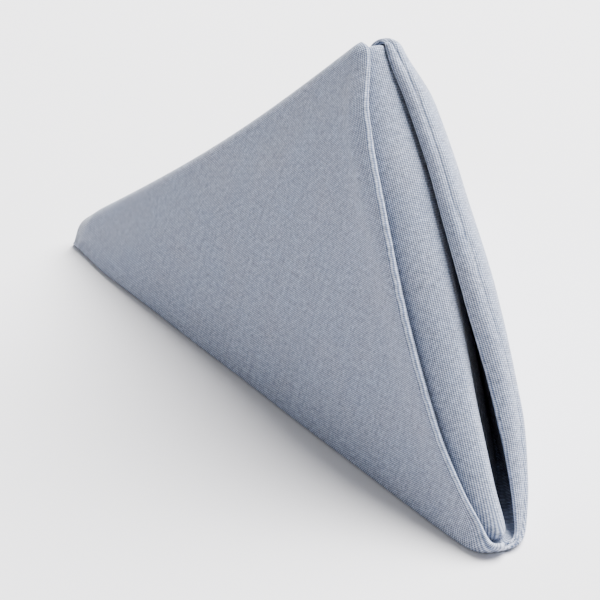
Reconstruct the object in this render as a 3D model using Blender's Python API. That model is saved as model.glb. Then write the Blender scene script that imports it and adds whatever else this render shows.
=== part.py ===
"""Folded cloth napkin: a square of cloth in a pyramid fold, standing as a tent.

The cloth is one sheet, built from sections square to the ridge. Each section is one
back-and-forth run of the layers: over the ridge, down a panel, round the bottom fold,
up the flap, round the flap's rim, down again, and back under to the ridge.
Metres, +Z up, +Y from the closed tip towards the open end. The origin is the middle of
the box of the napkin, on the surface that it stands on.
"""

import math

import bmesh
import bpy
from mathutils import Vector

MM = 0.001

# Driving sizes of the cloth
NAPKIN_SIDE = 508 * MM
CLOTH_THICKNESS = 1.0 * MM
LAYER_PITCH = 1.4 * MM
HALF_DIAGONAL = NAPKIN_SIDE / math.sqrt(2)
PANEL_SIDE = HALF_DIAGONAL / 2

# Driving sizes of the tent
RIDGE_SLOPE = math.radians(46.5)
FOLD_SETBACK = 2.2 * MM
CORNER_CUT = 6.0 * MM
TIP_SETBACK = 2.5 * MM
ROLL_SETBACK = 1.5 * MM
FOOT_PRESS = 0.35 * MM
WRAP_STRETCH = math.sqrt(2) * LAYER_PITCH
LIFT_REACH = 40 * MM
EDGE_BOW = 3.0 * MM

# Layer places across a panel, in layer pitches out from its middle
FLAP_OUTER = 3.5
FLAP_INNER = 2.5
ROLL_OUTER = 1.5
ROLL_INNER = 0.5
FLAP_MIDDLE = (FLAP_OUTER + FLAP_INNER) / 2

# Sections along the ridge, in millimetres and degrees: the distance from the tip, the
# radius of the ridge, the dip of the ridge, how far down each panel the rim of its flap
# lies, how far the right flap stands off the roll at its rim, and the angle between a
# panel and the upright plane through the ridge.
SECTION_COLUMNS = ("along", "radius", "dip", "rim_left", "rim_right", "lift_right", "panel_angle")
SECTION_ROWS = (
    (0, 3.3, -1.2, 3.0, 3.0, 0.0, 19.6),
    (10, 4.7, -0.8, 3.9, 4.2, 3.6, 19.2),
    (25, 6.1, -0.1, 6.3, 3.5, 7.7, 18.7),
    (50, 7.3, -0.5, 9.2, 2.6, 11.0, 18.5),
    (90, 9.3, -2.3, 10.7, 2.6, 9.8, 18.2),
    (130, 11.5, -2.5, 10.3, 2.8, 6.0, 18.3),
    (160, 10.9, 0.1, 8.5, 2.7, 2.0, 19.3),
    (182, 6.6, 2.9, 4.6, 3.3, 0.0, 20.0),
    (200, 6.0, 4.0, 4.0, 3.3, 0.0, 20.2),
)

# Soft swells and hollows of the panels, in millimetres: the side of the tent, the middle
# of the swell along the ridge and down the panel, its reach both ways, and its height.
RELIEF_COLUMNS = ("side", "along", "down", "reach_along", "reach_down", "height")
RELIEF_ROWS = (
    (-1, 85, 70, 55, 60, 0.6),
    (-1, 150, 100, 50, 60, -0.9),
    (1, 80, 60, 55, 60, 0.6),
    (1, 145, 90, 50, 60, -0.5),
)

# Steps of the solid
RING_STEPS = (0, 2, 4.5, 8, 13, 20, 31, 45, 62, 80, 98, 116, 134, 150, 165, 174)
BEND_STEPS = 6
ARC_STEPS = 4
FLAP_ARC_STEPS = 3
LEG_STEPS = 3
WRAP_STEPS = 4
RIM_STEPS = 4
FOOT_TRIALS = 24
SLIVER = 0.2 * MM


def column_slopes(column):
    """Slopes of a smooth curve through a column of the section table, flat where it turns."""
    steps = []
    for before, after in zip(SECTION_ROWS, SECTION_ROWS[1:]):
        steps.append((after[column] - before[column]) / (after[0] - before[0]))
    slopes = [steps[0]]
    for before, after in zip(steps, steps[1:]):
        slopes.append(2 * before * after / (before + after) if before * after > 0 else 0.0)
    return slopes + [steps[-1]]


SECTION_SLOPES = [column_slopes(column) for column in range(len(SECTION_COLUMNS))]


def section_values(along):
    """The named values of the section at a distance along the ridge, in metres and radians."""
    position = min(max(along / MM, SECTION_ROWS[0][0]), SECTION_ROWS[-1][0])
    row = 0
    while position > SECTION_ROWS[row + 1][0]:
        row += 1
    before = SECTION_ROWS[row]
    after = SECTION_ROWS[row + 1]
    span = after[0] - before[0]
    share = (position - before[0]) / span
    values = {}
    for column, name in enumerate(SECTION_COLUMNS):
        slopes = SECTION_SLOPES[column]
        rise = after[column] - before[column]
        first = slopes[row] * span - rise
        second = rise - slopes[row + 1] * span
        bend = share * (1 - share) * (first * (1 - share) + second * share)
        values[name] = (before[column] + rise * share + bend) * MM
    values["panel_angle"] = math.radians(values["panel_angle"] / MM)
    return values


def relief_height(nominal, down_panel, side):
    """How far the swells and hollows move a panel outwards."""
    height = 0.0
    for row in RELIEF_ROWS:
        swell = dict(zip(RELIEF_COLUMNS, row))
        if swell["side"] == side:
            along = (nominal / MM - swell["along"]) / swell["reach_along"]
            down = (down_panel / MM - swell["down"]) / swell["reach_down"]
            height += swell["height"] * MM * math.exp(-along * along - down * down)
    return height


def shoulder_of(values):
    """How far down the panel the rounding of a section's ridge ends."""
    return values["radius"] * (math.pi / 2 - values["panel_angle"])


def tip_place(nominal, out, extra):
    """Distance along the ridge and squeeze of a layer's section, for a rounded tip.

    Each layer lies a pitch behind the one outside it.
    """
    setback = TIP_SETBACK + FLAP_OUTER * LAYER_PITCH - out + extra
    along = math.hypot(nominal, setback)
    return along, nominal / along


def tent_point(nominal, down_panel, out, side, extra=0.0, lift=0.0):
    """A point of the tent, by its distance along the ridge, down a panel and outwards.

    side is -1 on the left panel and 1 on the right one. extra sets a layer further back
    at the tip, and lift stands it off the panel.
    """
    along, squeeze = tip_place(nominal, out, extra)
    values = section_values(along)
    radius = values["radius"]
    angle = values["panel_angle"]
    shoulder = shoulder_of(values)
    turn = min(down_panel / radius, math.pi / 2 - angle)
    leg = max(down_panel - shoulder, 0.0)
    off = out + lift + relief_height(nominal, down_panel, side)
    standing = off * math.sin(turn) * nominal / math.hypot(nominal, TIP_SETBACK)
    across = squeeze * (radius * math.sin(turn) + leg * math.sin(angle)) + standing
    drop = values["dip"] + radius - (radius + off) * math.cos(turn) + leg * math.cos(angle)
    if side < 0:
        bow = math.sin(math.pi * min(down_panel / PANEL_SIDE, 1.0))
        along -= EDGE_BOW * bow * (nominal / PANEL_SIDE) ** 4
    slope_cos = math.cos(RIDGE_SLOPE)
    slope_sin = math.sin(RIDGE_SLOPE)
    return Vector((
        side * across,
        along * slope_cos + drop * slope_sin,
        along * slope_sin - drop * slope_cos,
    ))


def fold_place(flat, layer, bend_layer):
    """Distance along the ridge and out from the panel's middle, past the half fold."""
    radius = layer * LAYER_PITCH
    bend_length = math.pi * bend_layer * LAYER_PITCH
    start = PANEL_SIDE + FOLD_SETBACK
    past = flat - start
    if past <= 0:
        return flat, radius
    if past < bend_length:
        turn = math.pi * past / bend_length
        return start + radius * math.sin(turn), radius * math.cos(turn)
    return start - (past - bend_length), -radius


def shoulder_distance(nominal, out, extra):
    """How far down the panel the ridge's rounding ends."""
    along, squeeze = tip_place(nominal, out, extra)
    return shoulder_of(section_values(along))


def flap_setback(out, layer):
    """How much further back than the outside of the tent a flap's tip lies, past the half fold."""
    return ROLL_SETBACK * (1 - out / (layer * LAYER_PITCH))


def rim_distance(nominal, out, side, layer):
    """How far down the panel a flap's rim lies, outside and inside the tent."""
    extra = flap_setback(out, layer)
    along, squeeze = tip_place(nominal, out, extra)
    values = section_values(along)
    outside = values["rim_left"] if side < 0 else values["rim_right"]
    inside = shoulder_distance(nominal, out, extra) + LAYER_PITCH
    share = min(max((out / (layer * LAYER_PITCH) + 1) / 2, 0.0), 1.0)
    return inside + (outside - inside) * share


def stops(start, shoulder, end, arc_steps):
    """Distances down a panel, close together round the ridge and wider on the flat."""
    turn_end = min(max(shoulder, start + (end - start) * 0.05), start + (end - start) * 0.6)
    arc = [start + (turn_end - start) * step / arc_steps for step in range(arc_steps)]
    leg = [turn_end + (end - turn_end) * (step / LEG_STEPS) ** 1.5 for step in range(LEG_STEPS + 1)]
    return arc + leg


def roll_points(flat, layer, side, foot):
    """Points down one of the two layers that run over the ridge."""
    nominal, out = fold_place(flat, layer, layer)
    reach = foot
    if flat > PANEL_SIDE:
        reach = foot * (HALF_DIAGONAL - flat) / PANEL_SIDE
    shoulder = shoulder_distance(nominal, out, ROLL_SETBACK)
    places = stops(0.0, shoulder, reach, ARC_STEPS)
    return [tent_point(nominal, place, out, side, ROLL_SETBACK) for place in places]


def flap_points(flat, layer, side, foot):
    """Points down one of the two layers of a flap, from its rim to its foot or hem."""
    nominal, out = fold_place(flat, layer, FLAP_MIDDLE)
    extra = flap_setback(out, layer)
    rim = rim_distance(nominal, out, side, layer)
    reach = foot
    if flat > PANEL_SIDE:
        corner_rim = rim_distance(PANEL_SIDE, layer * LAYER_PITCH, side, layer)
        reach = rim + (foot - corner_rim) * (HALF_DIAGONAL - flat) / PANEL_SIDE
    else:
        rim = min(rim, foot - LAYER_PITCH)
    shoulder = shoulder_distance(nominal, out, extra)
    along, squeeze = tip_place(nominal, out, extra)
    lift = section_values(along)["lift_right"] if side > 0 and out > 0 else 0.0
    points = []
    for place in stops(rim, shoulder, reach, FLAP_ARC_STEPS):
        fade = max(1 - (place - rim) / min(LIFT_REACH, foot), 0.0) ** 2
        points.append(tent_point(nominal, place, out, side, extra, lift * fade))
    return points


def foot_distance(flat):
    """How far down the panel the bottom fold's middle lies, for it to reach the surface."""
    nearest = 0.0
    farthest = 1.5 * PANEL_SIDE
    for trial in range(FOOT_TRIALS):
        foot = (nearest + farthest) / 2
        outside = tent_point(flat, foot, FLAP_OUTER * LAYER_PITCH, 1)
        above = tent_point(flat, foot - MM, FLAP_OUTER * LAYER_PITCH, 1)
        inside = tent_point(flat, foot, ROLL_INNER * LAYER_PITCH, 1, ROLL_SETBACK)
        down = (outside - above).normalized()
        wrap = arc_between(outside, inside, down, WRAP_STRETCH * 1.5, WRAP_STEPS)
        if min(point.z for point in wrap) > CLOTH_THICKNESS / 2 - FOOT_PRESS:
            nearest = foot
        else:
            farthest = foot
    return foot


def arc_between(start, end, towards, depth, steps):
    """Points of a half ellipse from start to end, bulging towards a direction."""
    middle = (start + end) / 2
    half = (start - end) / 2
    points = []
    for step in range(1, steps):
        turn = math.pi * step / steps
        points.append(middle + half * math.cos(turn) + towards * depth * math.sin(turn))
    return points


def section_points(flat, side):
    """One side of the back-and-forth section: ridge, roll, flap, rim, flap, roll, ridge.

    The points come in named runs, so that the runs past the corner can stand alone.
    """
    foot = foot_distance(min(flat, PANEL_SIDE))
    roll_out = roll_points(flat, ROLL_OUTER, side, foot)
    roll_in = roll_points(flat, ROLL_INNER, side, foot)
    flap_in = flap_points(flat, FLAP_INNER, side, foot)
    flap_out = flap_points(flat, FLAP_OUTER, side, foot)
    down = (flap_out[-1] - flap_out[-2]).normalized()
    upward = (flap_out[0] - flap_out[1] + flap_in[0] - flap_in[1]).normalized()
    rim = arc_between(flap_in[0], flap_out[0], upward, LAYER_PITCH / 2, RIM_STEPS)
    inner_wrap = arc_between(roll_out[-1], flap_in[-1], down, WRAP_STRETCH * 0.5, WRAP_STEPS)
    outer_wrap = arc_between(flap_out[-1], roll_in[-1], down, WRAP_STRETCH * 1.5, WRAP_STEPS)
    return {
        "roll_out": roll_out,
        "inner_wrap": inner_wrap,
        "flap": flap_in[::-1] + rim + flap_out,
        "outer_wrap": outer_wrap,
        "roll_in": roll_in[::-1],
    }


def ring_distances():
    """Distances of the sections from the middle of the napkin, and how many reach the corner."""
    outer = [step * MM for step in RING_STEPS] + [PANEL_SIDE]
    bend_start = PANEL_SIDE + FOLD_SETBACK
    bend_end = bend_start + math.pi * FLAP_MIDDLE * LAYER_PITCH
    bend = [bend_start + (bend_end - bend_start) * step / BEND_STEPS for step in range(BEND_STEPS)]
    last = HALF_DIAGONAL - CORNER_CUT
    inner = [bend_start + bend_end - distance for distance in [bend_start] + outer[-2::-1]]
    inner = [distance for distance in inner if distance < last]
    return outer + bend + inner + [last], len(outer)


def add_strip(mesh, rows):
    """Faces between neighbouring rows of vertices, leaving out those with no area."""
    for lower, upper in zip(rows, rows[1:]):
        for index in range(len(lower) - 1):
            corners = [lower[index], lower[index + 1], upper[index + 1], upper[index]]
            distinct = []
            for corner in corners:
                if corner not in distinct:
                    distinct.append(corner)
            if len(distinct) > 2:
                mesh.faces.new(distinct)


def build_sheet():
    """The middle surface of the cloth as an open mesh."""
    mesh = bmesh.new()
    distances, closed_rings = ring_distances()
    loops = []
    for number, flat in enumerate(distances[:closed_rings]):
        left = section_points(flat, -1)
        right = section_points(flat, 1)
        order = ("roll_out", "inner_wrap", "flap", "outer_wrap", "roll_in")
        left_points = [point for name in order for point in left[name]]
        right_points = [point for name in order for point in right[name]]
        left_verts = [mesh.verts.new(point) for point in left_points]
        if number == 0:
            right_verts = left_verts
        else:
            middle = [mesh.verts.new(point) for point in right_points[1:-1]]
            right_verts = [left_verts[0]] + middle + [left_verts[-1]]
        loops.append((left_verts, right_verts))
    add_strip(mesh, [left for left, right in loops])
    add_strip(mesh, [right[::-1] for left, right in loops])
    last_left, last_right = loops[-1]
    sizes = {name: len(points) for name, points in left.items()}
    flap_start = sizes["roll_out"] + sizes["inner_wrap"]
    flap_end = flap_start + sizes["flap"]
    roll_end = sizes["roll_out"]
    back_start = flap_end + sizes["outer_wrap"]
    strips = {
        "roll_out": [last_left[:roll_end][::-1] + last_right[1:roll_end]],
        "roll_in": [last_left[back_start:] + last_right[back_start:-1][::-1]],
        "flap_left": [last_left[flap_start:flap_end]],
        "flap_right": [last_right[flap_start:flap_end]],
    }
    for flat in distances[closed_rings:]:
        left = section_points(flat, -1)
        right = section_points(flat, 1)
        strips["roll_out"].append(new_row(mesh, left["roll_out"][::-1] + right["roll_out"][1:]))
        strips["roll_in"].append(new_row(mesh, left["roll_in"] + right["roll_in"][:-1][::-1]))
        strips["flap_left"].append(new_row(mesh, left["flap"]))
        strips["flap_right"].append(new_row(mesh, right["flap"]))
    for rows in strips.values():
        add_strip(mesh, rows)
    bmesh.ops.remove_doubles(mesh, verts=mesh.verts, dist=SLIVER)
    bmesh.ops.recalc_face_normals(mesh, faces=mesh.faces)
    return mesh


def new_row(mesh, points):
    """New vertices at a row of points."""
    return [mesh.verts.new(point) for point in points]


def thicken(mesh):
    """Give the sheet its thickness, and flatten what would lie under the surface it stands on."""
    mesh.normal_update()
    half = CLOTH_THICKNESS / 2
    solid = bmesh.new()
    front = {}
    back = {}
    for vert in mesh.verts:
        front[vert] = solid.verts.new(vert.co + vert.normal * half)
        back[vert] = solid.verts.new(vert.co - vert.normal * half)
    for face in mesh.faces:
        solid.faces.new([front[vert] for vert in face.verts])
        solid.faces.new([back[vert] for vert in reversed(face.verts)])
    for edge in mesh.edges:
        if edge.is_boundary:
            loop = edge.link_loops[0]
            first = loop.vert
            second = loop.link_loop_next.vert
            solid.faces.new([front[second], front[first], back[first], back[second]])
    for vert in mesh.verts:
        low, high = sorted((front[vert], back[vert]), key=lambda item: item.co.z)
        low.co.z = max(low.co.z, 0.0)
        high.co.z = max(high.co.z, low.co.z + CLOTH_THICKNESS / 3)
    bmesh.ops.triangulate(solid, faces=solid.faces)
    bmesh.ops.recalc_face_normals(solid, faces=solid.faces)
    return solid


def centre_on_box(mesh):
    """Move the mesh so that its box stands centred on the origin."""
    xs = [vert.co.x for vert in mesh.verts]
    ys = [vert.co.y for vert in mesh.verts]
    shift = Vector((-(min(xs) + max(xs)) / 2, -(min(ys) + max(ys)) / 2, 0.0))
    bmesh.ops.translate(mesh, vec=shift, verts=mesh.verts)


def cloth_material():
    """Plain blue-grey cloth."""
    material = bpy.data.materials.new("blue_grey_cloth")
    material.use_nodes = True
    shader = material.node_tree.nodes["Principled BSDF"]
    shader.inputs["Base Color"].default_value = (0.33, 0.38, 0.46, 1.0)
    shader.inputs["Roughness"].default_value = 0.9
    shader.inputs["Metallic"].default_value = 0.0
    return material


def clear_scene():
    """Remove the objects of the opened scene."""
    for item in list(bpy.data.objects):
        bpy.data.objects.remove(item, do_unlink=True)


def build_napkin():
    """The folded napkin as one closed solid."""
    sheet = build_sheet()
    solid = thicken(sheet)
    centre_on_box(solid)
    data = bpy.data.meshes.new("napkin")
    solid.to_mesh(data)
    sheet.free()
    solid.free()
    data.materials.append(cloth_material())
    data.shade_smooth()
    data.set_sharp_from_angle(angle=math.radians(40))
    napkin = bpy.data.objects.new("napkin", data)
    bpy.context.scene.collection.objects.link(napkin)


clear_scene()
build_napkin()
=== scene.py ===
"""Folded cloth napkin: the fine cloth with its hem, and a plain stage.

The napkin is one sheet in a pyramid fold. The fine cloth has a section table of its own,
near the solid's but with other rims, a narrower roll and a thinner cloth.
Metres, +Z up, +Y from the closed tip towards the open end.
"""

import math

import bmesh
import bpy
from bpy.props import FloatProperty, FloatVectorProperty, PointerProperty
from bpy.types import Operator, Panel, PropertyGroup
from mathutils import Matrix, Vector


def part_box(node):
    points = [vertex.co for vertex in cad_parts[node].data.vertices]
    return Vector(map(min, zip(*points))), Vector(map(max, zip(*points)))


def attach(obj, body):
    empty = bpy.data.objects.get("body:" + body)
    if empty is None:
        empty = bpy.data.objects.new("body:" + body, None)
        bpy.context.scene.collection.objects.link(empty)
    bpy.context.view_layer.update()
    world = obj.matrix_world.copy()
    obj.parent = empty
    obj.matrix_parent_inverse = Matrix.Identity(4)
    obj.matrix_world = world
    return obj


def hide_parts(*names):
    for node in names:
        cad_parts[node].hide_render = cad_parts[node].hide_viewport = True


bl_info = {
    "name": "Folded Cloth Napkin",
    "version": (1, 0, 0),
    "blender": (4, 5, 0),
    "location": "View3D > Sidebar > Napkin",
    "description": "A square cloth napkin in a pyramid fold, with its weave and hem",
    "category": "Object",
}

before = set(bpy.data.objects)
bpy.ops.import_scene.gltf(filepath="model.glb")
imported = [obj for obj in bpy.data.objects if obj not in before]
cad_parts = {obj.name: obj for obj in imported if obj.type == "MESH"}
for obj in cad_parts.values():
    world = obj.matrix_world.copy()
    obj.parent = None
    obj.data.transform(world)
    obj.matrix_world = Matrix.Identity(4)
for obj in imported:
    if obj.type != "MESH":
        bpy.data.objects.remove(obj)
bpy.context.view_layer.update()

MM = 0.001
PLAN_MAP = "cloth_plan"

# Layer places across a panel, in layer pitches out from its middle
FLAP_OUTER = 3.5
FLAP_INNER = 2.5
ROLL_OUTER = 1.5
ROLL_INNER = 0.5
FLAP_MIDDLE = (FLAP_OUTER + FLAP_INNER) / 2

# Sections along the ridge, in millimetres, shares and degrees: the distance from the tip,
# the radius of the ridge, the dip of the ridge, how far down each panel the rim of its flap
# lies, how far each flap bulges off the roll below its rim, how much narrower the roll's
# right side is, and the angle between a panel and the upright plane through the ridge.
SECTION_COLUMNS = (
    "along", "radius", "dip", "rim_left", "rim_right", "curl_left", "curl_right", "pinch", "panel_angle")
SECTION_ROWS = (
    (0, 3.3, -1.2, 3.0, 3.0, 0.0, 0.0, 0.0, 19.6),
    (10, 4.7, -0.8, 3.9, 7.8, 0.0, 2.4, 0.35, 19.2),
    (25, 6.1, -0.1, 6.3, 8.8, 0.5, 6.2, 0.52, 18.7),
    (50, 7.3, -0.5, 9.2, 7.8, 1.2, 9.6, 0.50, 18.5),
    (90, 9.3, -2.3, 10.7, 5.4, 1.7, 8.8, 0.34, 18.2),
    (130, 11.5, -2.5, 10.0, 5.2, 1.7, 5.8, 0.28, 18.3),
    (160, 10.0, 0.1, 7.4, 4.2, 1.3, 5.0, 0.22, 19.3),
    (182, 4.2, 2.2, 2.2, 2.4, 0.0, 2.0, 0.0, 20.0),
    (200, 3.8, 3.0, 1.6, 2.0, 0.0, 0.0, 0.0, 20.2),
)

# Soft swells and hollows of the panels, in millimetres: the side of the tent, the middle
# of the swell along the ridge and down the panel, its reach both ways, and its height.
RELIEF_COLUMNS = ("side", "along", "down", "reach_along", "reach_down", "height")
RELIEF_ROWS = (
    (-1, 85, 70, 55, 60, 0.6),
    (-1, 150, 100, 50, 60, -0.9),
    (1, 80, 60, 55, 60, 0.6),
    (1, 145, 90, 50, 60, -0.5),
)

# Steps of the fine cloth, the places and spacing of its rings in millimetres
RING_STEPS = (0, 0.7, 1.5, 2.5, 3.8, 5.5, 7.5, 10, 13, 16.5)
RING_SPACING = 3.2
BEND_STEPS = 14
ARC_STEPS = 14
LEG_STEPS = 20
FLAP_ARC_STEPS = 20
WRAP_STEPS = 9
RIM_STEPS = 9
FOOT_TRIALS = 22
LEAST_TURN_SHARE = 0.05
MOST_TURN_SHARE = 0.6
LEG_GROWTH = 1.3

# Small lengths, in metres
SLIVER = 0.03 * MM
CORNER_GAP = 0.5 * MM
WRAP_FADE = 20 * MM
PARTING_CURL = 3 * MM
HEM_STEP = 0.6 * MM

# Depths of the two bottom folds, in layer pitches down the panel
INNER_WRAP = 0.5
OUTER_WRAP = 1.5

# Share by which the hem is thicker than the cloth
HEM_SWELL = 0.35

# Threads of the weave
WAVER_SCALE = 160.0
WAVER = 0.9
OVER_SHARPNESS = 1.6
THREAD_TONE = 0.45
TONE_LEVEL = 0.22
STREAK_ALONG = 60.0
STREAK_ACROSS = 1900.0
WARP_RANGE = (0.70, 1.35)
WEFT_RANGE = (0.80, 1.12)

# Clouds, speckle and relief of the weave, with painted shade in the gaps between the threads and painted
# light on their crowns
CLOUD_SCALE = 55.0
CLOUD_TINTS = ((0.96, 0.98, 1.03), (1.04, 1.0, 1.0))
SPECKLE_LEVEL = 0.30
CROSSING_SPECKLE = 0.34
GRAIN_SCALE = 620.0
GRAIN_SPECKLE = 1.10
# Painted shade and highlight of the weave: the thread colour is darker in the gaps between threads and
# lighter on their crowns. The crown height below is a real bump.
GAP_SHADE_LEVEL = 0.78
CROWN_LIGHT = 0.30
CROWN_HEIGHT = 0.12 * MM

# Places and sides of the two square lights, in metres
KEY_LIGHT = {"place": (1.5, 0.4, 2.1), "side": 2.3}
FILL_LIGHT = {"place": (-1.6, -1.2, 1.5), "side": 1.6}


class NapkinClothSettings(PropertyGroup):
    """Sizes and colours of the cloth."""

    side: FloatProperty(
        name="Side", description="Side of the square napkin", default=0.508, unit="LENGTH")
    thickness: FloatProperty(
        name="Thickness", description="Thickness of the cloth", default=0.0008,
        precision=5, unit="LENGTH")
    layer_pitch: FloatProperty(
        name="Layer pitch", description="Distance between folded layers", default=0.0014,
        precision=5, unit="LENGTH")
    thread_pitch: FloatProperty(
        name="Thread pitch", description="Distance between neighbouring threads", default=0.00044,
        precision=5, unit="LENGTH")
    hem: FloatProperty(
        name="Hem", description="Width of the turned hem", default=0.010, unit="LENGTH")
    warp_colour: FloatVectorProperty(
        name="Warp colour", description="Colour of the blue threads", default=(0.075, 0.105, 0.185),
        subtype="COLOR", size=3, min=0.0, max=1.0)
    weft_colour: FloatVectorProperty(
        name="Weft colour", description="Colour of the pale threads", default=(0.50, 0.555, 0.67),
        subtype="COLOR", size=3, min=0.0, max=1.0)
    roughness: FloatProperty(
        name="Roughness", description="Roughness of the threads", default=0.85,
        min=0.0, max=1.0, subtype="FACTOR")
    sheen: FloatProperty(
        name="Sheen", description="Strength of the soft sheen", default=0.25,
        min=0.0, max=1.0, subtype="FACTOR")


class NapkinTentSettings(PropertyGroup):
    """Sizes of the folded tent."""

    slope: FloatProperty(
        name="Ridge slope", description="Slope of the ridge", default=math.radians(46.5),
        subtype="ANGLE", unit="ROTATION")
    fold_setback: FloatProperty(
        name="Fold setback", description="Where the half fold starts past the panel's side",
        default=0.0022, precision=5, unit="LENGTH")
    corner_cut: FloatProperty(
        name="Corner", description="How far the sheet's corner is taken back", default=0.0045,
        precision=5, unit="LENGTH")
    tip_setback: FloatProperty(
        name="Tip setback", description="Rounding of the closed tip", default=0.0025,
        precision=5, unit="LENGTH")
    roll_setback: FloatProperty(
        name="Roll setback", description="How far the roll's tip lies behind the flap's",
        default=0.0015, precision=5, unit="LENGTH")
    foot_press: FloatProperty(
        name="Foot press", description="How much the bottom fold is pressed flat", default=0.00035,
        precision=5, unit="LENGTH")
    rim_open: FloatProperty(
        name="Open rim", description="Share of the left flap's lift that its inner layer has",
        default=0.45, min=0.0, max=1.0, subtype="FACTOR")
    curl_low: FloatProperty(
        name="Curl at the rim", description="Share of the flap's bulge that is left at its rim",
        default=0.22, min=0.0, max=1.0, subtype="FACTOR")
    curl_tuck: FloatProperty(
        name="Curl tuck", description="How far the rim turns in below the bulge, per height of bulge",
        default=0.85, min=0.0)
    curl_rise: FloatProperty(
        name="Curl rise", description="How far below the rim the bulge grows, per height of bulge",
        default=0.36, min=0.05)
    curl_reach: FloatProperty(
        name="Curl reach", description="How far down the panel a bulge fades, whatever its height",
        default=0.008, unit="LENGTH")
    curl_spread: FloatProperty(
        name="Curl spread", description="How much further down a bulge fades, per height of bulge",
        default=4.2, min=0.0)
    pinch_reach: FloatProperty(
        name="Pinch reach", description="How far down the panel the narrower roll reaches",
        default=0.030, unit="LENGTH")
    edge_bow: FloatProperty(
        name="Edge bow", description="How far the left rear edge bows in", default=0.003,
        precision=5, unit="LENGTH")


class NapkinStageSettings(PropertyGroup):
    """The floor, the lights and the camera."""

    floor_colour: FloatVectorProperty(
        name="Floor colour", description="Colour of the plain floor", default=(0.88, 0.87, 0.89),
        subtype="COLOR", size=3, min=0.0, max=1.0)
    floor_side: FloatProperty(
        name="Floor side", description="Side of the floor", default=6.0, unit="LENGTH")
    key_power: FloatProperty(
        name="Key light", description="Power of the large soft light", default=415.0, unit="POWER")
    fill_power: FloatProperty(
        name="Fill light", description="Power of the weak light", default=2.0, unit="POWER")
    sky_strength: FloatProperty(
        name="Room light", description="Strength of the even light", default=0.34, min=0.0)
    azimuth: FloatProperty(
        name="Camera azimuth", description="Angle round the napkin", default=math.radians(-19.31),
        subtype="ANGLE", unit="ROTATION")
    elevation: FloatProperty(
        name="Camera elevation", description="Angle above the floor", default=math.radians(29.24),
        subtype="ANGLE", unit="ROTATION")
    distance: FloatProperty(
        name="Camera distance", description="Distance of the camera", default=1.21463, unit="LENGTH")
    focal_widths: FloatProperty(
        name="Focal length", description="Focal length in widths of the picture",
        default=3400.0 / 600.0)
    target: FloatVectorProperty(
        name="Camera target", description="Point in the middle of the picture",
        default=(-0.02963, -0.00833, 0.040), subtype="TRANSLATION", unit="LENGTH", size=3)


def column_slopes(column):
    """Slopes of a smooth curve through a column of the section table, flat where it turns."""
    steps = []
    for before, after in zip(SECTION_ROWS, SECTION_ROWS[1:]):
        steps.append((after[column] - before[column]) / (after[0] - before[0]))
    slopes = [steps[0]]
    for before, after in zip(steps, steps[1:]):
        slopes.append(2 * before * after / (before + after) if before * after > 0 else 0.0)
    return slopes + [steps[-1]]


SECTION_SLOPES = [column_slopes(column) for column in range(len(SECTION_COLUMNS))]


def section_values(along):
    """The named values of the section at a distance along the ridge, in metres and radians."""
    position = min(max(along / MM, SECTION_ROWS[0][0]), SECTION_ROWS[-1][0])
    row = 0
    while position > SECTION_ROWS[row + 1][0]:
        row += 1
    before = SECTION_ROWS[row]
    after = SECTION_ROWS[row + 1]
    span = after[0] - before[0]
    share = (position - before[0]) / span
    values = {}
    for column, name in enumerate(SECTION_COLUMNS):
        slopes = SECTION_SLOPES[column]
        rise = after[column] - before[column]
        first = slopes[row] * span - rise
        second = rise - slopes[row + 1] * span
        bend = share * (1 - share) * (first * (1 - share) + second * share)
        values[name] = (before[column] + rise * share + bend) * MM
    values["panel_angle"] = math.radians(values["panel_angle"] / MM)
    values["pinch"] /= MM
    return values


def shoulder_of(values):
    """How far down the panel the rounding of a section's ridge ends."""
    return values["radius"] * (math.pi / 2 - values["panel_angle"])


def relief_height(nominal, down_panel, side):
    """How far the swells and hollows move a panel outwards."""
    height = 0.0
    for row in RELIEF_ROWS:
        swell = dict(zip(RELIEF_COLUMNS, row))
        if swell["side"] == side:
            along = (nominal / MM - swell["along"]) / swell["reach_along"]
            down = (down_panel / MM - swell["down"]) / swell["reach_down"]
            height += swell["height"] * MM * math.exp(-along * along - down * down)
    return height


def arc_between(start, end, towards, depth, steps):
    """Points of a half ellipse from start to end, bulging towards a direction."""
    middle = (start + end) / 2
    half = (start - end) / 2
    points = []
    for step in range(1, steps):
        turn = math.pi * step / steps
        points.append(middle + half * math.cos(turn) + towards * depth * math.sin(turn))
    return points


def stops(start, shoulder, end, arc_steps):
    """Distances down a panel, close together round the ridge and wider on the flat."""
    nearest = start + (end - start) * LEAST_TURN_SHARE
    farthest = start + (end - start) * MOST_TURN_SHARE
    turn_end = min(max(shoulder, nearest), farthest)
    arc = [start + (turn_end - start) * step / arc_steps for step in range(arc_steps)]
    leg = []
    for step in range(LEG_STEPS + 1):
        leg.append(turn_end + (end - turn_end) * (step / LEG_STEPS) ** LEG_GROWTH)
    return arc + leg


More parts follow.
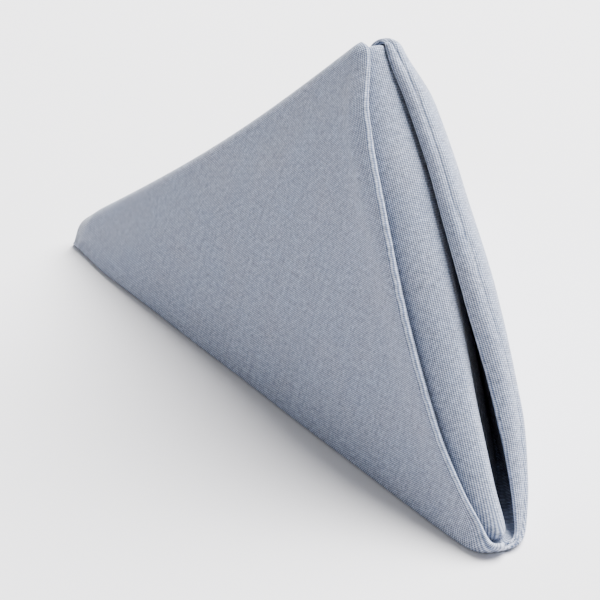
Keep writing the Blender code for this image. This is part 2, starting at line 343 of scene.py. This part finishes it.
class FoldedCloth:
    """Works out points of the folded sheet from the sizes of the cloth and the tent.

    Every point comes with its place on the flat napkin, measured from the middle along
    the napkin's two diagonals.
    """

    def __init__(self, cloth, tent):
        self.cloth = cloth
        self.tent = tent
        self.pitch = cloth.layer_pitch
        self.half_diagonal = cloth.side / math.sqrt(2)
        self.panel_side = self.half_diagonal / 2
        self.wrap_stretch = math.sqrt(2) * self.pitch
        self.bend_start = self.panel_side + tent.fold_setback
        self.slope_cos = math.cos(tent.slope)
        self.slope_sin = math.sin(tent.slope)

    def tip_distance(self, nominal, out, extra):
        """Distance along the ridge of a layer's section, for a rounded tip."""
        setback = self.tent.tip_setback + FLAP_OUTER * self.pitch - out + extra
        return math.hypot(nominal, setback)

    def tent_point(self, nominal, down_panel, out, side, extra=0.0, lift=0.0, free=False):
        """A point of the tent, by its distance along the ridge, down a panel and outwards.

        free tells the flap's layers outside the tent from those that lie with the roll.
        """
        along = self.tip_distance(nominal, out, extra)
        squeeze = nominal / along
        values = section_values(along)
        radius = values["radius"]
        angle = values["panel_angle"]
        shoulder = shoulder_of(values)
        turn = min(down_panel / radius, math.pi / 2 - angle)
        leg = max(down_panel - shoulder, 0.0)
        off = out + lift + relief_height(nominal, down_panel, side)
        standing = off * math.sin(turn) * nominal / math.hypot(nominal, self.tent.tip_setback)
        across = squeeze * (radius * math.sin(turn) + leg * math.sin(angle)) + standing
        drop = values["dip"] + radius - (radius + off) * math.cos(turn) + leg * math.cos(angle)
        if side > 0 and not free:
            fade = math.exp(-((down_panel / self.tent.pinch_reach) ** 2))
            across *= 1 - values["pinch"] * fade
        if side < 0:
            bow = math.sin(math.pi * min(down_panel / self.panel_side, 1.0))
            along -= self.tent.edge_bow * bow * (nominal / self.panel_side) ** 4
        return Vector((
            side * across,
            along * self.slope_cos + drop * self.slope_sin,
            along * self.slope_sin - drop * self.slope_cos,
        ))

    def fold_place(self, flat, layer, bend_layer):
        """Distance along the ridge and out from the panel's middle, past the half fold."""
        radius = layer * self.pitch
        bend_length = math.pi * bend_layer * self.pitch
        past = flat - self.bend_start
        if past <= 0:
            return flat, radius
        if past < bend_length:
            turn = math.pi * past / bend_length
            return self.bend_start + radius * math.sin(turn), radius * math.cos(turn)
        return self.bend_start - (past - bend_length), -radius

    def shoulder_distance(self, nominal, out, extra):
        """How far down the panel the ridge's rounding ends."""
        return shoulder_of(section_values(self.tip_distance(nominal, out, extra)))

    def flap_setback(self, out, layer):
        """How much further back a flap's tip lies, past the half fold."""
        return self.tent.roll_setback * (1 - out / (layer * self.pitch))

    def rim_distance(self, nominal, out, side, layer):
        """How far down the panel a flap's rim lies, outside and inside the tent."""
        extra = self.flap_setback(out, layer)
        values = section_values(self.tip_distance(nominal, out, extra))
        outside = values["rim_left"] if side < 0 else values["rim_right"]
        inside = self.shoulder_distance(nominal, out, extra) + self.pitch
        share = min(max((out / (layer * self.pitch) + 1) / 2, 0.0), 1.0)
        return inside + (outside - inside) * share

    def plan_width(self, flat):
        """Width of the flat napkin's quarter at a distance from its middle."""
        return min(flat, self.half_diagonal - flat)

    def wrap_share(self, flat, layer):
        """How much of a layer's cloth lies round its bottom fold."""
        if flat >= self.panel_side:
            return 0.0
        wrap = INNER_WRAP if layer in (ROLL_OUTER, FLAP_INNER) else OUTER_WRAP
        fade = min((self.panel_side - flat) / WRAP_FADE, 1.0)
        return math.pi * wrap * self.wrap_stretch * fade / 2

    def cloth_widths(self, points, start, flat, layer):
        """Plan distances of points by their distance along the cloth, evenly stretched."""
        gone = [start]
        for before, after in zip(points, points[1:]):
            gone.append(gone[-1] + (after - before).length)
        total = gone[-1] + self.wrap_share(flat, layer)
        if total < SLIVER:
            return [0.0] * len(points)
        return [length / total * self.plan_width(flat) for length in gone]

    def roll_points(self, flat, layer, side, foot):
        """Points down one of the two layers that run over the ridge, with their plan places."""
        nominal, out = self.fold_place(flat, layer, layer)
        reach = foot
        if flat > self.panel_side:
            reach = foot * (self.half_diagonal - flat) / self.panel_side
        shoulder = self.shoulder_distance(nominal, out, self.tent.roll_setback)
        points = []
        for place in stops(0.0, shoulder, reach, ARC_STEPS):
            points.append(self.tent_point(nominal, place, out, side, self.tent.roll_setback))
        upward = 1 if layer == ROLL_OUTER else -1
        widths = self.cloth_widths(points, 0.0, flat, layer)
        return [(point, (side * width, upward * flat)) for point, width in zip(points, widths)]

    def curl_place(self, gone, curl, layer, side):
        """How far down and how far off the panel the flap's cloth is, gone past its rim.

        The left flap lifts a little at its rim. The right one bulges below its tucked-in rim.
        """
        if curl < SLIVER:
            return gone, 0.0
        reach = self.tent.curl_reach + self.tent.curl_spread * curl
        fade = 0.5 * (1 + math.cos(math.pi * min(gone / reach, 1.0)))
        if side < 0:
            return gone, curl * fade * (1.0 if layer == FLAP_OUTER else self.tent.rim_open)
        tuck = self.tent.curl_tuck * curl
        rise = self.tent.curl_rise * curl
        low = self.tent.curl_low
        lift = curl * (low + (1 - low) * (1 - math.exp(-gone / rise))) * fade
        turned = math.exp(-gone / tuck)
        apart = (layer - FLAP_MIDDLE) * self.pitch * min(curl / PARTING_CURL, 1.0)
        return gone - tuck * (1 - turned) + apart * turned, lift - apart * turned * 0.5

    def flap_points(self, flat, layer, side, foot):
        """Points down one of the two layers of a flap, with their plan places."""
        nominal, out = self.fold_place(flat, layer, FLAP_MIDDLE)
        extra = self.flap_setback(out, layer)
        rim = self.rim_distance(nominal, out, side, layer)
        reach = foot
        if flat > self.panel_side:
            corner_rim = self.rim_distance(self.panel_side, layer * self.pitch, side, layer)
            reach = rim + (foot - corner_rim) * (self.half_diagonal - flat) / self.panel_side
        else:
            rim = min(rim, foot - self.pitch)
        shoulder = self.shoulder_distance(nominal, out, extra)
        outside = out > 0
        curl = 0.0
        if outside:
            values = section_values(self.tip_distance(nominal, out, extra))
            curl = values["curl_left" if side < 0 else "curl_right"] * out / (layer * self.pitch)
        whole_down = self.curl_place(reach - rim, curl, layer, side)[0]
        stretch = (reach - rim) / whole_down
        points = []
        for place in stops(0.0, shoulder + curl * 2 - rim, reach - rim, FLAP_ARC_STEPS):
            down, lift = self.curl_place(place, curl, layer, side)
            down_panel = rim + down * stretch
            points.append(self.tent_point(nominal, down_panel, out, side, extra, lift, outside))
        upward = 1 if layer == FLAP_INNER else -1
        widths = self.cloth_widths(points, math.pi * self.pitch / 4, flat, layer)
        return [(point, (side * flat, upward * width)) for point, width in zip(points, widths)]

    def foot_distance(self, flat):
        """How far down the panel the bottom fold's middle lies, for it to reach the surface."""
        nearest = 0.0
        farthest = 1.5 * self.panel_side
        for trial in range(FOOT_TRIALS):
            foot = (nearest + farthest) / 2
            outside = self.tent_point(flat, foot, FLAP_OUTER * self.pitch, 1)
            above = self.tent_point(flat, foot - MM, FLAP_OUTER * self.pitch, 1)
            inside = self.tent_point(flat, foot, ROLL_INNER * self.pitch, 1, self.tent.roll_setback)
            down = (outside - above).normalized()
            wrap = arc_between(outside, inside, down, self.wrap_stretch * OUTER_WRAP, WRAP_STEPS)
            if min(point.z for point in wrap) > self.cloth.thickness / 2 - self.tent.foot_press:
                nearest = foot
            else:
                farthest = foot
        return foot

    def joined(self, start, end, towards, depth, steps):
        """A bend between two ends, with plan places shared out evenly."""
        points = arc_between(start[0], end[0], towards, depth, steps)
        across = max(start[1][0], end[1][0], key=abs)
        up = max(start[1][1], end[1][1], key=abs)
        corner = (across, up) if start[1][1] * end[1][1] > 0 else (across, 0.0)
        found = []
        for number, point in enumerate(points, 1):
            share = 2 * number / steps
            first, second = (start[1], corner) if share < 1 else (corner, end[1])
            share = share if share < 1 else share - 1
            plan = [a + (b - a) * share for a, b in zip(first, second)]
            found.append((point, tuple(plan)))
        return found

    def section_points(self, flat, side):
        """One side of the back-and-forth section: ridge, roll, flap, rim, flap, roll, ridge."""
        foot = self.foot_distance(min(flat, self.panel_side))
        roll_out = self.roll_points(flat, ROLL_OUTER, side, foot)
        roll_in = self.roll_points(flat, ROLL_INNER, side, foot)
        flap_in = self.flap_points(flat, FLAP_INNER, side, foot)
        flap_out = self.flap_points(flat, FLAP_OUTER, side, foot)
        down = (flap_out[-1][0] - flap_out[-2][0]).normalized()
        upward = (flap_out[0][0] - flap_out[1][0] + flap_in[0][0] - flap_in[1][0]).normalized()
        fold = (flap_in[0][0] - flap_out[0][0]).length
        rim = self.joined(flap_in[0], flap_out[0], upward, fold / 2, RIM_STEPS)
        inner_depth = self.wrap_stretch * INNER_WRAP
        outer_depth = self.wrap_stretch * OUTER_WRAP
        inner_wrap = self.joined(roll_out[-1], flap_in[-1], down, inner_depth, WRAP_STEPS)
        outer_wrap = self.joined(flap_out[-1], roll_in[-1], down, outer_depth, WRAP_STEPS)
        return {
            "roll_out": roll_out,
            "inner_wrap": inner_wrap,
            "flap": flap_in[::-1] + rim + flap_out,
            "outer_wrap": outer_wrap,
            "roll_in": roll_in[::-1],
        }

    def ring_distances(self):
        """Distances of the sections from the napkin's middle, and how many reach the corner."""
        outer = [step * MM for step in RING_STEPS]
        count = round((self.panel_side - outer[-1]) / (RING_SPACING * MM))
        step = (self.panel_side - outer[-1]) / count
        outer += [outer[-1] + step * number for number in range(1, count + 1)]
        bend_end = self.bend_start + math.pi * FLAP_MIDDLE * self.pitch
        bend_length = bend_end - self.bend_start
        bend = [self.bend_start + bend_length * part / BEND_STEPS for part in range(BEND_STEPS)]
        last = self.half_diagonal - self.tent.corner_cut
        mirrored = [self.bend_start] + outer[-2::-1]
        inner = [self.bend_start + bend_end - distance for distance in mirrored]
        inner = [distance for distance in inner if distance < last - CORNER_GAP]
        return outer + bend + inner + [last], len(outer)

    def thread_place(self, plan):
        """Plan place along the threads, which run parallel to the napkin's sides."""
        across, up = plan
        return (across + up) / math.sqrt(2), (up - across) / math.sqrt(2)


class SheetBuilder:
    """Collects the vertices, plan places and faces of the middle surface."""

    def __init__(self):
        self.mesh = bmesh.new()
        self.plan = {}

    def add_row(self, found):
        """New vertices at a row of points."""
        row = []
        for point, plan in found:
            vert = self.mesh.verts.new(point)
            self.plan[vert] = plan
            row.append(vert)
        return row

    def add_strip(self, rows):
        """Faces between neighbouring rows of vertices, leaving out those with no area."""
        for lower, upper in zip(rows, rows[1:]):
            for index in range(len(lower) - 1):
                corners = [lower[index], lower[index + 1], upper[index + 1], upper[index]]
                distinct = []
                for corner in corners:
                    if corner not in distinct:
                        distinct.append(corner)
                if len(distinct) > 2:
                    self.mesh.faces.new(distinct)


def build_sheet(folded):
    """The middle surface of the cloth as an open mesh, with plan places at its vertices."""
    builder = SheetBuilder()
    distances, closed_rings = folded.ring_distances()
    order = ("roll_out", "inner_wrap", "flap", "outer_wrap", "roll_in")
    loops = []
    for number, flat in enumerate(distances[:closed_rings]):
        left = folded.section_points(flat, -1)
        right = folded.section_points(flat, 1)
        left_row = builder.add_row([item for name in order for item in left[name]])
        if number == 0:
            right_row = left_row
        else:
            middle = builder.add_row([item for name in order for item in right[name]][1:-1])
            right_row = [left_row[0]] + middle + [left_row[-1]]
        loops.append((left_row, right_row))
    builder.add_strip([left_row for left_row, right_row in loops])
    builder.add_strip([right_row[::-1] for left_row, right_row in loops])
    last_left, last_right = loops[-1]
    sizes = {name: len(points) for name, points in left.items()}
    flap_start = sizes["roll_out"] + sizes["inner_wrap"]
    flap_end = flap_start + sizes["flap"]
    roll_end = sizes["roll_out"]
    back_start = flap_end + sizes["outer_wrap"]
    strips = {
        "roll_out": [last_left[:roll_end][::-1] + last_right[1:roll_end]],
        "roll_in": [last_left[back_start:] + last_right[back_start:-1][::-1]],
        "flap_left": [last_left[flap_start:flap_end]],
        "flap_right": [last_right[flap_start:flap_end]],
    }
    for flat in distances[closed_rings:]:
        left = folded.section_points(flat, -1)
        right = folded.section_points(flat, 1)
        strips["roll_out"].append(builder.add_row(left["roll_out"][::-1] + right["roll_out"][1:]))
        strips["roll_in"].append(builder.add_row(left["roll_in"] + right["roll_in"][:-1][::-1]))
        strips["flap_left"].append(builder.add_row(left["flap"]))
        strips["flap_right"].append(builder.add_row(right["flap"]))
    for rows in strips.values():
        builder.add_strip(rows)
    return builder


def thicken(builder, folded):
    """Give the sheet its thickness, a plan map and a hem that is a little thicker."""
    sheet = builder.mesh
    bmesh.ops.recalc_face_normals(sheet, faces=sheet.faces)
    sheet.normal_update()
    cloth = folded.cloth
    solid = bmesh.new()
    plan_layer = solid.loops.layers.uv.new(PLAN_MAP)
    pairs = {}
    plan_of = {}
    for vert in sheet.verts:
        across, up = folded.thread_place(builder.plan[vert])
        from_edge = cloth.side / 2 - max(abs(across), abs(up))
        hem_share = min(max((cloth.hem - from_edge) / HEM_STEP + 0.5, 0.0), 1.0)
        half = cloth.thickness / 2 * (1 + HEM_SWELL * hem_share)
        front = solid.verts.new(vert.co + vert.normal * half)
        back = solid.verts.new(vert.co - vert.normal * half)
        pairs[vert] = (front, back)
        plan_of[front] = (across, up)
        plan_of[back] = (across, up)
    for face in sheet.faces:
        solid.faces.new([pairs[vert][0] for vert in face.verts])
        solid.faces.new([pairs[vert][1] for vert in reversed(face.verts)])
    for edge in sheet.edges:
        if edge.is_boundary:
            loop = edge.link_loops[0]
            first = loop.vert
            second = loop.link_loop_next.vert
            solid.faces.new([pairs[second][0], pairs[first][0], pairs[first][1], pairs[second][1]])
    for front, back in pairs.values():
        low, high = sorted((front, back), key=lambda item: item.co.z)
        low.co.z = max(low.co.z, 0.0)
        high.co.z = max(high.co.z, low.co.z + cloth.thickness / 3)
    for face in solid.faces:
        for loop in face.loops:
            loop[plan_layer].uv = plan_of[loop.vert]
    bmesh.ops.remove_doubles(solid, verts=solid.verts, dist=SLIVER)
    bmesh.ops.recalc_face_normals(solid, faces=solid.faces)
    return solid


def centring_shift(mesh):
    """The move that brings the cloth's box over the solid's box."""
    low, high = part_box("napkin")
    shift = Vector((0.0, 0.0, 0.0))
    for axis in range(2):
        values = [vert.co[axis] for vert in mesh.verts]
        shift[axis] = (low[axis] + high[axis]) / 2 - (min(values) + max(values)) / 2
    return shift


def math_node(tree, operation, first, second=None, clamp=False):
    """A maths node, whose inputs are numbers or other nodes' outputs."""
    node = tree.nodes.new("ShaderNodeMath")
    node.operation = operation
    node.use_clamp = clamp
    for index, value in enumerate((first, second)):
        if value is None:
            continue
        if isinstance(value, (int, float)):
            node.inputs[index].default_value = value
        else:
            tree.links.new(value, node.inputs[index])
    return node.outputs[0]


def mix_colours(tree, factor, first, second, blend="MIX"):
    """A colour mix, whose colours are tuples or other nodes' outputs."""
    node = tree.nodes.new("ShaderNodeMix")
    node.data_type = "RGBA"
    node.blend_type = blend
    for socket, value in ((node.inputs[0], factor), (node.inputs[6], first), (node.inputs[7], second)):
        if isinstance(value, (int, float)):
            socket.default_value = value
        elif isinstance(value, (tuple, list)):
            socket.default_value = (*value[:3], 1.0)
        else:
            tree.links.new(value, socket)
    return node.outputs[2]


def noise_node(tree, vector, scale, detail=2.0):
    """Even noise on a vector."""
    node = tree.nodes.new("ShaderNodeTexNoise")
    node.inputs["Scale"].default_value = scale
    node.inputs["Detail"].default_value = detail
    node.inputs["Roughness"].default_value = 0.6
    tree.links.new(vector, node.inputs["Vector"])
    return node.outputs["Fac"]


def random_number(tree, dimensions, socket, place):
    """A random number that is the same wherever the place is the same."""
    node = tree.nodes.new("ShaderNodeTexWhiteNoise")
    node.noise_dimensions = dimensions
    tree.links.new(place, node.inputs[socket])
    return node.outputs["Value"]


def place_vector(tree, first, second):
    """A vector of two numbers."""
    combine = tree.nodes.new("ShaderNodeCombineXYZ")
    tree.links.new(first, combine.inputs[0])
    tree.links.new(second, combine.inputs[1])
    return combine.outputs[0]


def plan_vector(tree, across_scale, up_scale, across, up):
    """The plan place stretched by a scale each way."""
    first = math_node(tree, "MULTIPLY", across, across_scale)
    second = math_node(tree, "MULTIPLY", up, up_scale)
    return place_vector(tree, first, second)


def scaled(tree, value, factor, level, clamp=False):
    """A number times a factor, and a level added."""
    return math_node(tree, "ADD", math_node(tree, "MULTIPLY", value, factor), level, clamp)


def counted_threads(tree, distance, pitch, waver):
    """A distance across the threads as a number of threads, which waver a little."""
    return math_node(tree, "ADD", math_node(tree, "DIVIDE", distance, pitch), waver)


def thread_wave(tree, place):
    """The up and down of the threads at a place counted in threads."""
    return math_node(tree, "SINE", math_node(tree, "MULTIPLY", place, math.pi))


def thread_colour(tree, number, streaks, colour, darkest, lightest):
    """Colour of the threads: each has a tone of its own and fine streaks along it."""
    tone = random_number(tree, "1D", "W", number)
    streak = noise_node(tree, streaks, 1.0, 1.0)
    share = math_node(tree, "ADD", math_node(tree, "MULTIPLY", tone, THREAD_TONE), streak)
    share = math_node(tree, "SUBTRACT", share, TONE_LEVEL, clamp=True)
    dark = tuple(value * darkest for value in colour)
    light = tuple(min(value * lightest, 1.0) for value in colour)
    return mix_colours(tree, share, dark, light)


def woven_cloth_material(cloth):
    """Plain weave of blue and pale threads that vary, with soft clouds, a fine speckle, and painted
    shade in the gaps between the threads' crowns.
    """
    material = bpy.data.materials.new("woven_cloth")
    material.use_nodes = True
    tree = material.node_tree
    shader = tree.nodes["Principled BSDF"]
    plan = tree.nodes.new("ShaderNodeUVMap")
    plan.uv_map = PLAN_MAP
    split = tree.nodes.new("ShaderNodeSeparateXYZ")
    tree.links.new(plan.outputs[0], split.inputs[0])
    across = split.outputs[0]
    up = split.outputs[1]
    flat_place = plan_vector(tree, 1.0, 1.0, across, up)

    waver = noise_node(tree, flat_place, WAVER_SCALE)
    waver = math_node(tree, "MULTIPLY", math_node(tree, "SUBTRACT", waver, 0.5), WAVER)
    warp_place = counted_threads(tree, up, cloth.thread_pitch, waver)
    weft_place = counted_threads(tree, across, cloth.thread_pitch, waver)
    warp_number = math_node(tree, "FLOOR", warp_place)
    weft_number = math_node(tree, "FLOOR", weft_place)
    waves = (thread_wave(tree, warp_place), thread_wave(tree, weft_place))
    product = math_node(tree, "MULTIPLY", *waves)
    warp_over = scaled(tree, product, OVER_SHARPNESS, 0.5, clamp=True)
    crown = math_node(tree, "ABSOLUTE", product)

    warp_streaks = plan_vector(tree, STREAK_ALONG, STREAK_ACROSS, across, up)
    weft_streaks = plan_vector(tree, STREAK_ACROSS, STREAK_ALONG, across, up)
    warp = thread_colour(tree, warp_number, warp_streaks, cloth.warp_colour, *WARP_RANGE)
    weft = thread_colour(tree, weft_number, weft_streaks, cloth.weft_colour, *WEFT_RANGE)
    woven = mix_colours(tree, warp_over, weft, warp)

    cloud = noise_node(tree, flat_place, CLOUD_SCALE, 3.0)
    cloud = scaled(tree, cloud, 2.0, -0.5, clamp=True)
    woven = mix_colours(tree, 1.0, woven, mix_colours(tree, cloud, *CLOUD_TINTS), "MULTIPLY")

    crossing = random_number(tree, "2D", "Vector", place_vector(tree, warp_number, weft_number))
    grain = noise_node(tree, flat_place, GRAIN_SCALE)
    speckle = scaled(tree, crossing, CROSSING_SPECKLE, SPECKLE_LEVEL)
    speckle = math_node(tree, "ADD", speckle, math_node(tree, "MULTIPLY", grain, GRAIN_SPECKLE))
    # Painted shade: the speckled colour is darkened in the gaps between threads and lightened on their
    # crowns
    light = math_node(tree, "MULTIPLY", speckle, scaled(tree, crown, CROWN_LIGHT, GAP_SHADE_LEVEL))
    shade = tree.nodes.new("ShaderNodeCombineColor")
    for socket in shade.inputs[:3]:
        tree.links.new(light, socket)
    woven = mix_colours(tree, 1.0, woven, shade.outputs[0], "MULTIPLY")
    tree.links.new(woven, shader.inputs["Base Color"])

    bump = tree.nodes.new("ShaderNodeBump")
    bump.inputs["Strength"].default_value = 0.45
    bump.inputs["Distance"].default_value = CROWN_HEIGHT
    tree.links.new(crown, bump.inputs["Height"])
    tree.links.new(bump.outputs[0], shader.inputs["Normal"])
    shader.inputs["Roughness"].default_value = cloth.roughness
    shader.inputs["Specular IOR Level"].default_value = 0.25
    shader.inputs["Sheen Weight"].default_value = cloth.sheen
    shader.inputs["Sheen Roughness"].default_value = 0.45
    return material


def floor_material(stage):
    """Plain matt floor with a barely seen grain."""
    material = bpy.data.materials.new("plain_floor")
    material.use_nodes = True
    tree = material.node_tree
    shader = tree.nodes["Principled BSDF"]
    places = tree.nodes.new("ShaderNodeTexCoord")
    grain = noise_node(tree, places.outputs["Object"], 60.0, 4.0)
    light = tuple(stage.floor_colour)
    dark = tuple(value * 0.985 for value in light)
    tree.links.new(mix_colours(tree, grain, dark, light), shader.inputs["Base Color"])
    shader.inputs["Roughness"].default_value = 0.9
    shader.inputs["Specular IOR Level"].default_value = 0.1
    return material


def mesh_object(name, mesh, materials):
    """An object at the origin from a bmesh, which is freed."""
    data = bpy.data.meshes.new(name)
    mesh.to_mesh(data)
    mesh.free()
    for material in materials:
        data.materials.append(material)
    thing = bpy.data.objects.new(name, data)
    bpy.context.scene.collection.objects.link(thing)
    return thing


class NAPKIN_OT_cloth(Operator):
    """Build the folded cloth."""

    bl_idname = "napkin.cloth"
    bl_label = "Folded cloth"

    def execute(self, context):
        cloth = context.scene.napkin_cloth
        folded = FoldedCloth(cloth, context.scene.napkin_tent)
        builder = build_sheet(folded)
        solid = thicken(builder, folded)
        builder.mesh.free()
        bmesh.ops.translate(solid, vec=centring_shift(solid), verts=solid.verts)
        thing = mesh_object("folded_cloth", solid, [woven_cloth_material(cloth)])
        thing.data.shade_smooth()
        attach(thing, "root")
        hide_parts("napkin")
        return {"FINISHED"}


class NAPKIN_OT_stage(Operator):
    """Build the floor, the lights and the camera."""

    bl_idname = "napkin.stage"
    bl_label = "Stage"

    def execute(self, context):
        stage = context.scene.napkin_stage
        mesh = bmesh.new()
        bmesh.ops.create_grid(mesh, x_segments=8, y_segments=8, size=stage.floor_side / 2)
        floor = mesh_object("floor", mesh, [floor_material(stage)])
        self.add_light("key", power=stage.key_power, **KEY_LIGHT)
        self.add_light("fill", power=stage.fill_power, **FILL_LIGHT)
        self.add_room(stage)
        self.add_camera(stage)
        return {"FINISHED"}

    def add_light(self, name, place, side, power):
        """A square soft light that looks at the napkin."""
        lamp = bpy.data.lights.new(name, "AREA")
        lamp.shape = "SQUARE"
        lamp.size = side
        lamp.energy = power
        thing = bpy.data.objects.new(name, lamp)
        thing.location = place
        thing.rotation_euler = (-Vector(place)).to_track_quat("-Z", "Y").to_euler()
        bpy.context.scene.collection.objects.link(thing)

    def add_room(self, stage):
        """Even pale light from all round."""
        world = bpy.data.worlds.new("room")
        world.use_nodes = True
        background = world.node_tree.nodes["Background"]
        background.inputs["Color"].default_value = (0.97, 0.98, 1.0, 1.0)
        background.inputs["Strength"].default_value = stage.sky_strength
        bpy.context.scene.world = world

    def add_camera(self, stage):
        """A long lens that looks down at the tip and the flaps from their left."""
        lens = bpy.data.cameras.new("camera")
        lens.sensor_width = 36.0
        lens.lens = stage.focal_widths * lens.sensor_width
        lens.clip_end = 50.0
        camera = bpy.data.objects.new("camera", lens)
        back = Vector((
            math.sin(stage.azimuth) * math.cos(stage.elevation),
            -math.cos(stage.azimuth) * math.cos(stage.elevation),
            math.sin(stage.elevation),
        ))
        camera.location = Vector(stage.target) + back * stage.distance
        camera.rotation_euler = (-back).to_track_quat("-Z", "Y").to_euler()
        bpy.context.scene.collection.objects.link(camera)
        bpy.context.scene.camera = camera


class NAPKIN_PT_panel(Panel):
    """Lists the napkin's settings and steps."""

    bl_idname = "NAPKIN_PT_panel"
    bl_label = "Folded Cloth Napkin"
    bl_space_type = "VIEW_3D"
    bl_region_type = "UI"
    bl_category = "Napkin"

    def draw(self, context):
        for operator in OPERATORS:
            self.layout.operator(operator.bl_idname)
        for name, group in SETTINGS.items():
            box = self.layout.box()
            settings = getattr(context.scene, name)
            for field in group.__annotations__:
                box.prop(settings, field)


SETTINGS = {
    "napkin_cloth": NapkinClothSettings,
    "napkin_tent": NapkinTentSettings,
    "napkin_stage": NapkinStageSettings,
}
OPERATORS = (NAPKIN_OT_cloth, NAPKIN_OT_stage)
CLASSES = (*SETTINGS.values(), *OPERATORS, NAPKIN_PT_panel)


def register():
    """Add the classes, and their settings on the scene."""
    for item in CLASSES:
        bpy.utils.register_class(item)
    for name, group in SETTINGS.items():
        setattr(bpy.types.Scene, name, PointerProperty(type=group))


def unregister():
    """Take the settings and the classes away again."""
    for name in SETTINGS:
        delattr(bpy.types.Scene, name)
    for item in reversed(CLASSES):
        bpy.utils.unregister_class(item)


def main():
    """Build everything in order."""
    register()
    bpy.ops.napkin.cloth()
    bpy.ops.napkin.stage()


if __name__ == "__main__":
    main()
